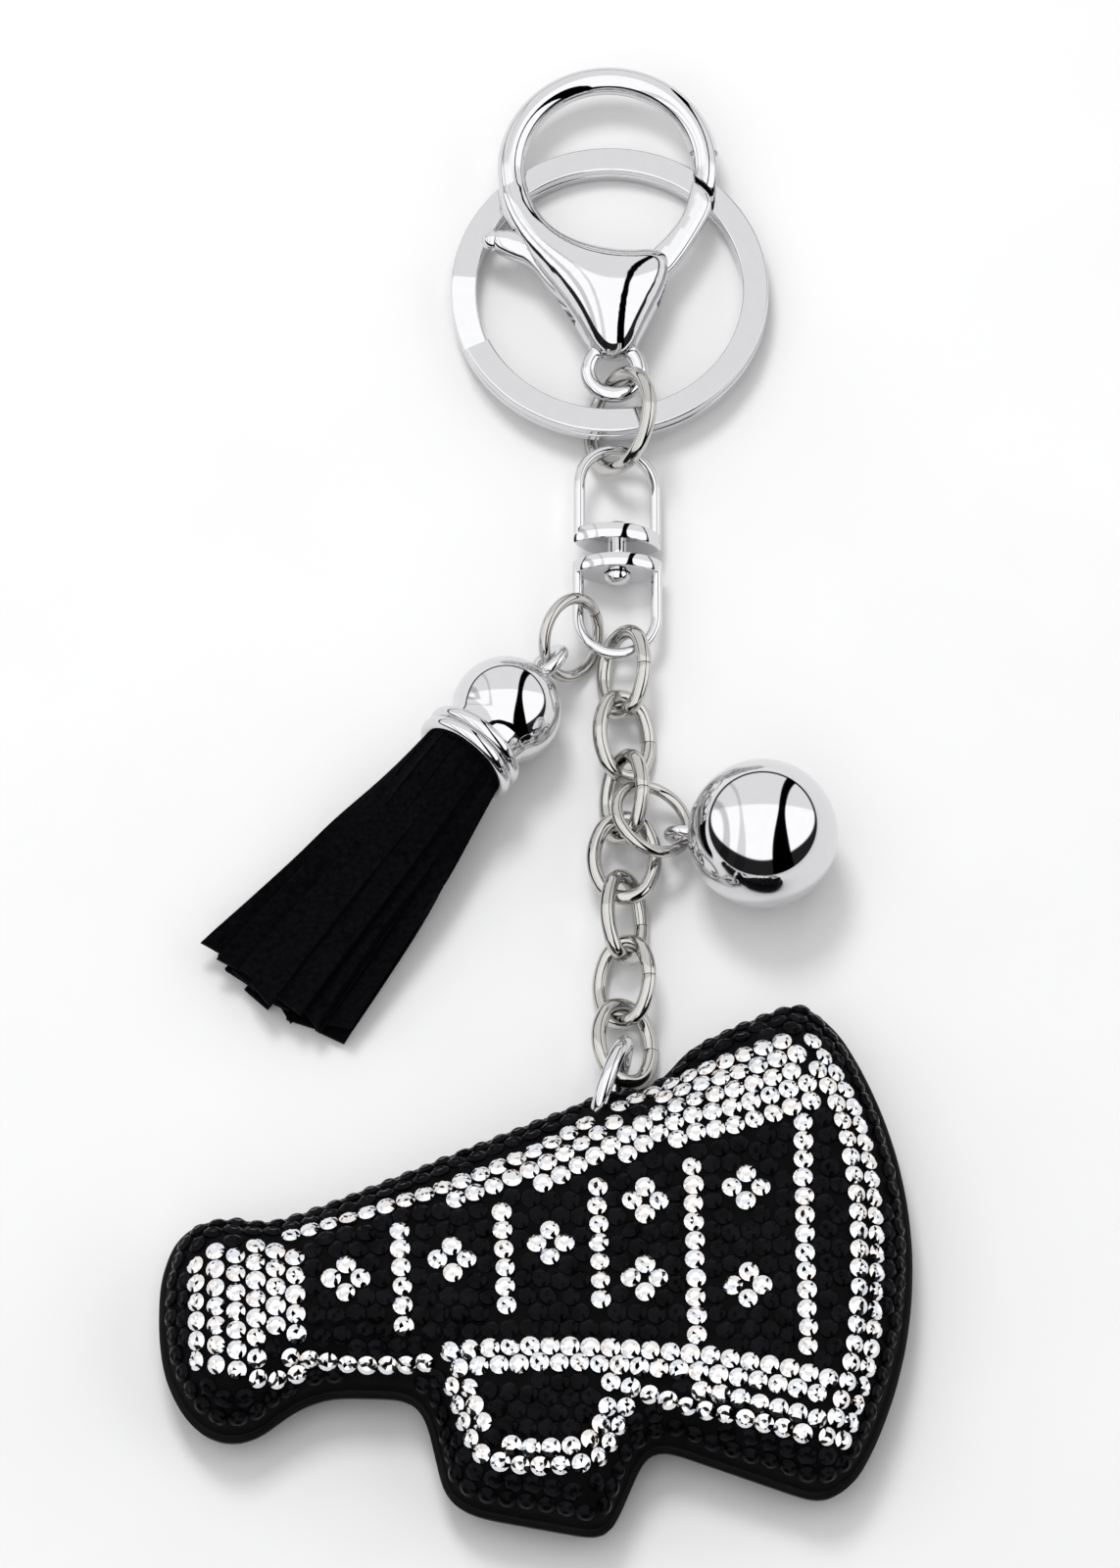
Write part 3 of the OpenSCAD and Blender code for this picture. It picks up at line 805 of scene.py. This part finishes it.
def seam_welt():
    """The leather's turned edge, a thin cord of folded leather all round the seam."""
    edge = PAD.resampled(0.6)
    frames = []
    for k, point in enumerate(edge):
        ahead = edge[(k + 1) % len(edge)] - edge[k - 1]
        ahead /= np.linalg.norm(ahead)
        out = Vector((ahead[1], -ahead[0], 0))
        inner = Vector((*point, SEAM_Z)) - out * 0.55
        frames.append((inner, out, Vector((0, 0, 1))))
    section = [(0.5 * math.cos(t), 0.42 * math.sin(t)) for t in np.linspace(0, 2 * math.pi, 10, False)]
    verts, faces = sweep(frames, section, True)
    piece = make_piece("seam_welt", verts, faces, LEATHER)
    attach(piece, "pad")


# Stones -----------------------------------------------------------------

STONE_D = 1.95
PITCH = 1.98
EDGE_ROOM = 1.3


def on_front(xy):
    xy = np.atleast_2d(xy)
    return np.column_stack([xy, SEAM_Z + FRONT(xy)])


def walk(line, pitch=PITCH, start=0.0):
    """Even steps along a line over the front, measured on the surface."""
    line = np.asarray(line, float)
    fine = []
    for a, b in zip(line[:-1], line[1:]):
        n = max(2, int(np.linalg.norm(b - a) / 0.1))
        fine += [a + (b - a) * t for t in np.linspace(0, 1, n, False)]
    fine.append(line[-1])
    solid = on_front(np.array(fine))
    marks = np.concatenate([[0], np.cumsum(np.linalg.norm(np.diff(solid, axis=0), axis=1))])
    wanted = np.arange(start, marks[-1] + 0.3 * pitch, pitch)
    return [np.array([np.interp(s, marks, solid[:, 0]), np.interp(s, marks, solid[:, 1])]) for s in wanted]


def smooth_line(points, rounds=2):
    """An open line with its corners cut."""
    points = np.asarray(points, float)
    for _ in range(rounds):
        cut = np.stack([points[:-1] * 0.75 + points[1:] * 0.25, points[:-1] * 0.25 + points[1:] * 0.75], 1)
        points = np.concatenate([points[:1], cut.reshape(-1, 2), points[-1:]])
    return points


def shifted(line, distance):
    """A line moved sideways over the surface, to its right where distance is positive."""
    line = np.asarray(line, float)
    for _ in range(6):
        tangent = np.gradient(line, axis=0)
        tangent /= np.linalg.norm(tangent, axis=1)[:, None]
        right = np.stack([tangent[:, 1], -tangent[:, 0]], 1)
        slope = (FRONT(line + right * 0.2) - FRONT(line - right * 0.2)) / 0.4
        line = line + right * (distance / 6 / np.sqrt(1 + slope ** 2))[:, None]
    return line


def rows(line, count, spacing, starts):
    """Rows of stones beside a line, each staggered by half a step and starting further along."""
    stones = []
    current = np.asarray(line, float)
    for k in range(count):
        lengths = np.concatenate([[0], np.cumsum(np.linalg.norm(np.diff(current, axis=0), axis=1))])
        keep = current[lengths >= starts[k]]
        stones += walk(keep, start=(k % 2) * PITCH / 2)
        current = shifted(current, spacing)
    return stones


def clear_pattern():
    """The bright outline of the megaphone and a plain pattern of bars and diamonds inside it."""
    stones = []
    top = smooth_line([(-24.2, -49.6), (-14.9, -46.8), (-8.6, -44.7), (-2.7, -42.3), (2.2, -39.9), (7.1, -36.6), (11, -34.2),
                       (14, -32.8), (18.9, -31.4), (25.5, -28.9)])
    stones += rows(top, 5, 1.74, (0, 15, 25, 33, 40))
    bell = smooth_line([(27.4, -28.9), (30.6, -33.5), (32.4, -39), (33.4, -46), (33.6, -53), (33.2, -60), (32, -66),
                        (29.8, -71.6)])
    stones += rows(bell, 2, 1.76, (0, 0))
    stones += rows(smooth_line([(-8.4, -62), (6.2, -61.7), (19.9, -62.9), (30.4, -65.4)]), 2, 1.74, (0, 0))
    stones += walk([(-24.4, -62.2), (-10.2, -62.6)])
    stones += rows(smooth_line([(7.4, -65.4), (15, -67.2), (22.8, -69.3), (28.6, -71)]), 2, -1.74, (0, 0))
    handle = smooth_line([(-8.2, -65.2), (-7.1, -69), (-4.9, -73.6), (5.0, -74), (7.4, -71), (8.9, -67.2)])
    stones += rows(handle, 2, -1.76, (0, 0))
    for k in range(6):
        left = -33.6 + k * 1.95
        low = -63 - 1.6 * math.sin(math.pi * (k + 0.7) / 6.5)
        stones += walk([(left, -52.6 + 0.25 * k + (k % 2) * 0.9), (left + 0.2, low)])
    for x, high, low in ((-13.5, -49.5, -60), (-3.4, -45.6, -58), (6, -43, -58), (15.4, -38.8, -61), (26.4, -38, -63.4)):
        stones += walk([(x, high), (x + 0.5, low)])
    for x, y in ((-18.8, -54.6), (-8.3, -52.6), (1.4, -50.9), (10.8, -46.4), (10.8, -54.6), (20.8, -45), (21, -55.4)):
        stones += [np.array([x + dx, y + dy]) for dx, dy in ((0, 1.46), (1.46, 0), (0, -1.46), (-1.46, 0))]
    return np.array(stones)


def thin_out(xy, least):
    """Drops stones that sit on an earlier one."""
    kept, solid = [], on_front(xy)
    for k, p in enumerate(solid):
        if all(np.linalg.norm(p - solid[j]) > least for j in kept):
            kept.append(k)
    return xy[kept]


def settle(xy, fixed, rounds, hold):
    """Pushes stones apart over the surface until they sit side by side."""
    for _ in range(rounds):
        p = on_front(xy)
        gap = p[:, None, :] - p[None, :, :]
        far = np.linalg.norm(gap, axis=2)
        np.fill_diagonal(far, 9)
        push = np.clip(PITCH - far, 0, None) / far
        move = (gap[:, :, :2] * push[:, :, None]).sum(1) * 0.3
        move[:fixed] *= hold
        moved = xy + np.clip(move, -0.2, 0.2)
        ok = PAD.distance(moved) > EDGE_ROOM
        xy[ok] = moved[ok]
    return xy


def fill(candidates, xy, least):
    """Adds each candidate that still has room."""
    solid = [tuple(p) for p in on_front(xy)] if len(xy) else [(0, 0, -99)]
    added = []
    taken = np.array(solid)
    for c, p in zip(candidates, on_front(candidates)):
        if ring_distance(p) < RING_WIRE + STONE_D / 2 + 0.1:
            continue
        if np.min(np.linalg.norm(taken - p, axis=1)) > least:
            added.append(c)
            taken = np.vstack([taken, p])
    return np.concatenate([xy, np.array(added)]) if added else xy


def spread_stones(clear):
    """Settles all stones: the clear ones nearly stay and the black ones fill what is left."""
    clear = thin_out(clear, 1.72)
    clear = clear[[ring_distance(p) > RING_WIRE + 0.95 for p in on_front(clear)]]
    edge = PAD.resampled(0.4)
    tangent = np.roll(edge, -1, axis=0) - np.roll(edge, 1, axis=0)
    tangent /= np.linalg.norm(tangent, axis=1)[:, None]
    normal = np.stack([-tangent[:, 1], tangent[:, 0]], 1)
    if PAD.distance(edge + normal * 0.05).mean() < 0:
        normal = -normal
    rings = []
    for ring in (1.45, 2.75, 4.35):
        inner = edge + normal * ring
        inner = inner[PAD.distance(inner) > ring * 0.95]
        rings += walk(inner)
    low, high = PAD.points.min(0), PAD.points.max(0)
    net = np.array([(x + (j % 2) * PITCH / 2, y) for j, y in enumerate(np.arange(low[1], high[1], PITCH * 0.88))
                    for x in np.arange(low[0], high[0], PITCH)])
    net = net[PAD.distance(net) > 5.2]
    fine = np.array([(x, y) for x in np.arange(low[0], high[0], 0.3) for y in np.arange(low[1], high[1], 0.3)])
    fine = fine[PAD.distance(fine) > EDGE_ROOM]
    fixed = len(clear)
    xy = fill(np.concatenate([np.array(rings), net]), clear, 1.7)
    xy = settle(xy, fixed, 25, 0.06)
    for least in (1.75, 1.68, 1.62):
        xy = settle(fill(fine, xy, least), fixed, 40, 0.04)
    solid = on_front(xy)
    room = [k < fixed or ring_distance(p) > RING_WIRE + STONE_D / 2 for k, p in enumerate(solid)]
    return xy[:fixed], xy[fixed:][np.array(room)[fixed:]]


def ring_distance(p):
    """Distance of a point from the centreline of the ring in the pad's edge."""
    v = np.array(p) - np.array(RING_CENTRE)
    flat = v @ RING_AXIS
    out = np.linalg.norm(v - flat * RING_AXIS)
    return math.hypot(out - RING_R, flat)


def stone_shape(kinked):
    """One flat-backed brilliant: girdle, main facets and a table with a small star."""
    r = STONE_D / 2
    rings = ((16, r, 0, 0), (16, r, 0.3, 0), (8, r * 0.72, 0.47, math.pi / 8), (8, r * 0.5, 0.58, 0))
    verts = [(d * math.cos(t + turn), d * math.sin(t + turn), z) for count, d, z, turn in rings
             for t in np.linspace(0, 2 * math.pi, count, False)]
    verts.append((0, 0, 0.58 - kinked))
    faces = [tuple(range(15, -1, -1))]
    faces += [(k, (k + 1) % 16, 16 + (k + 1) % 16, 16 + k) for k in range(16)]
    for k in range(8):
        a, b, c = 16 + 2 * k, 16 + 2 * k + 1, 16 + (2 * k + 2) % 16
        mid, table, table_next = 32 + k, 40 + k, 40 + (k + 1) % 8
        before = 32 + (k - 1) % 8
        faces += [(a, b, mid), (b, c, mid), (before, a, table), (a, mid, table), (mid, table_next, table)]
        faces.append((table, table_next, 48))
    return np.array(verts), faces


def set_stones(name, xy, material, kinked, tilt, sink, size):
    shape, shape_faces = stone_shape(kinked)
    solid = on_front(xy)
    normals = FRONT.normal(xy)
    verts, faces = [], []
    for p, n in zip(solid, normals):
        wobble = Euler((RNG.normal(0, tilt), RNG.normal(0, tilt), RNG.uniform(0, 2 * math.pi)))
        turn = Vector(n).to_track_quat("Z", "Y").to_matrix() @ wobble.to_matrix()
        scale = RNG.uniform(0.96, 1.03) * size
        first = len(verts)
        base = Vector(p) - Vector(n) * sink
        verts += [base + turn @ (Vector(v) * scale) for v in shape]
        faces += [tuple(first + i for i in f) for f in shape_faces]
    piece = make_piece(name, verts, faces, material, smooth=False)
    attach(piece, "pad")
    return piece


def make_pad():
    pad_cover("front_cloth", FRONT, 1, CLOTH, "pad_front_cover")
    pad_cover("back_leather", BACK, -1, LEATHER, "pad_back_cover")
    seam_welt()
    pad_wadding()
    clear, black = spread_stones(clear_pattern())
    print("stones", len(clear), len(black))
    set_stones("clear_stones", clear, CLEAR_STONE, 0.09, 0.06, 0.0, 1.0)
    set_stones("black_stones", black, BLACK_STONE, 0.06, 0.07, 0.14, 0.99)


# ---------------------------------------------------------------- the tassel

def make_tassel():
    """Cut suede strips: a ring of them at the cap, spread into a low fan on the table."""
    plug = [sum(c) / 2 / MM for c in zip(*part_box("tassel_plug"))]
    skirt = [sum(c) / 2 / MM for c in zip(*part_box("tassel_skirt"))]
    along = Vector((skirt[0] - plug[0], skirt[1] - plug[1], 0)).normalized()
    side = Vector((-along.y, along.x, 0))
    mouth = Vector((plug[0], plug[1], plug[2])) + along * 1.2 + Vector((0, 0, -0.2))
    length = 31.6
    top_r, spread = 3.9, 9.0
    strips = []
    layers = ((7, 3.7, 0.95), (6, 2.3, 0.7), (6, 0.75, 0.92))
    for level, (count, end_z, reach) in enumerate(layers):
        for k in range(count):
            t = (k + 0.5) / count * 2 - 1
            if level == 0:
                angle = math.radians(90 - 82 * t)
            elif level == 1:
                angle = math.radians(90 - 60 * t)
            else:
                angle = math.radians(-90 + 82 * t)
            strips.append((t, level, end_z - abs(t) * (1.3 if level == 0 else 0.2), reach, angle))
    width, thick = 3.1, 0.62
    for n, (t, level, end_z, reach, angle) in enumerate(strips):
        wander = RNG.normal(0, 0.25)
        cut = RNG.uniform(-1.1, 0.5)
        slope = RNG.uniform(-0.45, 0.45)
        radius = top_r if level != 1 else 2.4
        start = mouth + side * (radius * math.cos(angle)) + Vector((0, 0, radius * math.sin(angle)))
        end = Vector((mouth.x, mouth.y, 0)) + along * (length + cut - 1.4 * t * t) + side * (spread * reach * t + wander)
        end.z = max(end_z + RNG.uniform(-0.25, 0.25), 0.5)
        if level == 0:
            roll_end = -0.5 * t + RNG.normal(0, 0.12)
        else:
            roll_end = RNG.normal(0, 0.12)
        bend = RNG.uniform(-0.35, 0.35)
        steps = 22
        frames = []
        for s in np.linspace(0, 1, steps):
            ease = s * s * (3 - 2 * s)
            point = start.lerp(end, s)
            point.z = start.z * (1 - s) + end.z * s - 1.2 * math.sin(math.pi * s) * (0.5 if level == 0 else 0.2)
            point += side * bend * math.sin(math.pi * s)
            point.z = max(point.z, 0.45)
            out_angle = angle * 1.0
            tangent_side = side * (-math.sin(out_angle)) + Vector((0, 0, math.cos(out_angle)))
            if tangent_side.dot(side) > 0:
                tangent_side = -tangent_side
            flat_side = (-side * math.cos(roll_end) + Vector((0, 0, math.sin(roll_end))))
            across = tangent_side.lerp(flat_side, min(1, ease * 1.5)).normalized()
            up = along.cross(across)
            frames.append((point, across, up))
        def section(k, width=width, thick=thick, slope=slope):
            s = k / (steps - 1)
            w = (width * (0.72 + 0.28 * s)) / 2
            cup = 0.22 * (1 - s)
            return [(-w, -thick / 2 - cup), (0, -thick / 2), (w, -thick / 2 - cup), (w + 0.02, 0 - cup),
                    (w, thick / 2 - cup), (0, thick / 2), (-w, thick / 2 - cup), (-w - 0.02, 0 - cup)]
        verts, faces = sweep(frames, section, False)
        last = len(verts) - 8
        for j in range(8):
            a = section(steps - 1)[j][0]
            verts[last + j] = verts[last + j] + along * slope * a
        piece = make_piece(f"tassel_strip_{n + 1}", verts, faces, SUEDE)
        smooth_by_angle(piece, 45)
        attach(piece, "tassel")
        if n == 0:
            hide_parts("tassel_skirt")


# ---------------------------------------------------------------- the clasp

CLASP_Z = 4.25
HOOK_AT = Vector((7.26, 67.65, CLASP_Z))
HOOK_R = 9.8
EYE_AT = Vector((7.8, 45.65, CLASP_Z))


def clasp_body():
    """The cast body: a puffed drop-shaped body, the hook's round arc and the eye, run together."""
    outline = Outline(chaikin([(6.0, 46.8), (9.4, 46.8), (11.3, 50.6), (13.4, 55.2), (13.4, 58.6), (10.8, 58.7),
                               (8.2, 58.5), (4.4, 59.4), (1.5, 61.2), (-0.3, 63.6), (-1.1, 66.6), (-3.95, 66.6),
                               (-3.6, 63.2), (-1.6, 59.0), (3.0, 52.4)], 3))
    flat, faces = inside_mesh(outline, 0.25, 0.35, (0.04, 0.12, 0.28, 0.5))
    grid = membrane(outline)
    heights = np.sqrt(np.maximum(sample(*grid, flat), 0)) * 1.1
    depth = np.maximum(outline.distance(flat), 0)
    heights = np.maximum(heights, 0.8 * Puff.round(depth / 0.8) * np.minimum(1, depth / 0.05))
    heights[depth < 1e-3] = 0
    low_side = heights * 0.8
    count = len(flat)
    verts = [(x, y, CLASP_Z + h) for (x, y), h in zip(flat, heights)]
    verts += [(x, y, CLASP_Z - h) for (x, y), h in zip(flat, low_side)]
    all_faces = list(faces) + [tuple(count + i for i in f[::-1]) for f in faces]
    arc = ring_frames(HOOK_AT, HOOK_R, (0, 0, 1), 0, 0, 2)
    arc = []
    for a in np.radians(np.linspace(-14, 202, 110)):
        out = Vector((math.cos(a), math.sin(a), 0))
        arc.append((HOOK_AT + out * HOOK_R, out, Vector((0, 0, 1))))
    for frames, section, closed in (
            (arc, circle(1.42, 24), False),
            (ring_frames(EYE_AT, 2.6, (0, 0, 1), 0, 2 * math.pi * 59 / 60, 60), circle(0.84, 18), True)):
        v, f = sweep(frames, section, closed)
        base = len(verts)
        verts += [tuple(p) for p in v]
        all_faces += [tuple(base + i for i in q) for q in f]
    piece = make_piece("clasp_casting", verts, all_faces, CHROME)
    bm = bmesh.new()
    bm.from_mesh(piece.data)
    bmesh.ops.remove_doubles(bm, verts=bm.verts, dist=2e-6)
    bm.to_mesh(piece.data)
    bm.free()
    remesh = piece.modifiers.new("voxels", "REMESH")
    remesh.mode = "VOXEL"
    remesh.voxel_size = 0.2 * MM
    smooth = piece.modifiers.new("polish", "SMOOTH")
    smooth.factor = 0.5
    smooth.iterations = 6
    apply_modifiers(piece)
    slot_points = [(6.4, 57.4), (3, 56.9), (0.1, 60), (-4, 61.4), (-4, 44), (3.6, 50.6), (8.7, 52.6), (14, 52.6),
                   (20, 56), (20, 69.5), (12, 69.5), (6.4, 62)]
    tip_points = [(14.6, 68.1), (19.6, 63.1), (17.2, 61.2), (13.4, 65)]
    for points, half in ((slot_points, 0.93), (tip_points, 4)):
        cutter_verts = [(x, y, CLASP_Z + h) for h in (-half, half) for x, y in points]
        n = len(points)
        cutter_faces = [tuple(range(n))[::-1], tuple(range(n, 2 * n))]
        cutter_faces += [(i, (i + 1) % n, n + (i + 1) % n, n + i) for i in range(n)]
        cutter = make_piece("cutter", cutter_verts, cutter_faces, CHROME, smooth=False)
        cut = piece.modifiers.new("cut", "BOOLEAN")
        cut.operation = "DIFFERENCE"
        cut.object = cutter
        cut.solver = "EXACT"
        apply_modifiers(piece)
        bpy.data.objects.remove(cutter)
    smooth_by_angle(piece, 42)
    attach(piece, "clasp")
    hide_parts("clasp_hook")


def gate_lever():
    """The sprung lever: a flat arm with softened edges, and a thumb tab that ends in a ball."""
    arm = chaikin([(15.7, 66.2), (15.9, 66.4), (17.9, 64.4), (17.2, 62), (13.6, 56), (10.1, 53.6), (8.7, 53.3), (6.4, 52.8),
                   (3.6, 52.6), (1.4, 54.4), (-0.6, 57.2), (-2.6, 57.9), (-4.6, 59), (-4.6, 60.8), (-2.2, 61),
                   (-0.2, 60), (1.9, 57), (3.4, 55.6), (6.4, 56.5), (8.7, 57.2), (10.9, 58), (13, 60), (14.9, 62.6)], 2)
    outline = Outline(arm)
    flat, faces = inside_mesh(outline, 0.3, 0.45, (0.04, 0.13, 0.28, 0.45))
    depth = np.maximum(outline.distance(flat), 0)
    thumb = np.clip((0.5 - flat[:, 0]) / 2, 0, 1)
    half = 0.8 + 0.45 * thumb * thumb * (3 - 2 * thumb)
    soft = 0.45 + 0.6 * thumb
    heights = half - soft + soft * Puff.round(depth / soft)
    count = len(flat)
    edge = np.where(outline.distance(flat) < 1e-3)[0]
    verts = [(x, y, CLASP_Z + h) for (x, y), h in zip(flat, heights)]
    verts += [(x, y, CLASP_Z - h) for (x, y), h in zip(flat, heights)]
    order = outline_order(edge, faces)
    all_faces = list(faces) + [tuple(count + i for i in f[::-1]) for f in faces]
    all_faces += [(a, b, count + b, count + a) for a, b in order]
    ball_rows, ball_cols = 12, 20
    centre = Vector((-4.4, 59.9, CLASP_Z))
    base = len(verts)
    for i in range(1, ball_rows):
        for j in range(ball_cols):
            p, q = math.pi * i / ball_rows, 2 * math.pi * j / ball_cols
            verts.append(tuple(centre + Vector((math.sin(p) * math.cos(q), math.sin(p) * math.sin(q), math.cos(p))) * 1.1))
    top, bottom = len(verts), len(verts) + 1
    verts += [tuple(centre + Vector((0, 0, 1.1))), tuple(centre - Vector((0, 0, 1.1)))]
    for j in range(ball_cols):
        k = (j + 1) % ball_cols
        for i in range(ball_rows - 2):
            row, below = base + i * ball_cols, base + (i + 1) * ball_cols
            all_faces.append((row + j, row + k, below + k, below + j))
        all_faces.append((top, base + k, base + j))
        end = base + (ball_rows - 2) * ball_cols
        all_faces.append((bottom, end + j, end + k))
    piece = make_piece("gate_lever", verts, all_faces, CHROME)
    smooth_by_angle(piece, 35)
    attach(piece, "gate")
    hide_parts("clasp_gate")


def outline_order(edge, faces):
    """Boundary edges of a triangulated sheet."""
    seen = {}
    for f in faces:
        for a, b in zip(f, f[1:] + f[:1]):
            seen[(a, b)] = True
    return [(a, b) for a, b in seen if (b, a) not in seen]


# ---------------------------------------------------------------- the rest

def dress_cad_nodes():
    """Materials and shading for the CAD pieces that stay."""
    finishes = {"clasp_pin": CHROME, "clasp_spring": SPRING, "tassel_plug": SUEDE, "pad_filling": WADDING,
                "tassel_cap": CHROME, "ball_shell": CHROME, "ball_eye": CHROME}
    for name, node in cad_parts.items():
        material = finishes.get(name, CHROME)
        node.data.materials.clear()
        node.data.materials.append(material)
        smooth_by_angle(node, 35)


set_camera()
set_floor()
set_world()
add_area("key", 2.2, 200, (-110, 330, 620))
dress_cad_nodes()
for number in range(1, 8):
    chain_link(number)
jump_ring("charm_ring", "pad_ring", (0, 0, -1), CHROME)
jump_ring("connector_ring", "connector", (-1, 0.2, 0))
jump_ring("tassel_ring", "tassel_link", (0.9, 0.3, 0.2))
jump_ring("ball_ring", "ball_link", (-0.3, 1, 0))
split_ring()
swivel()
turned_parts()
clasp_body()
gate_lever()
make_tassel()
make_pad()
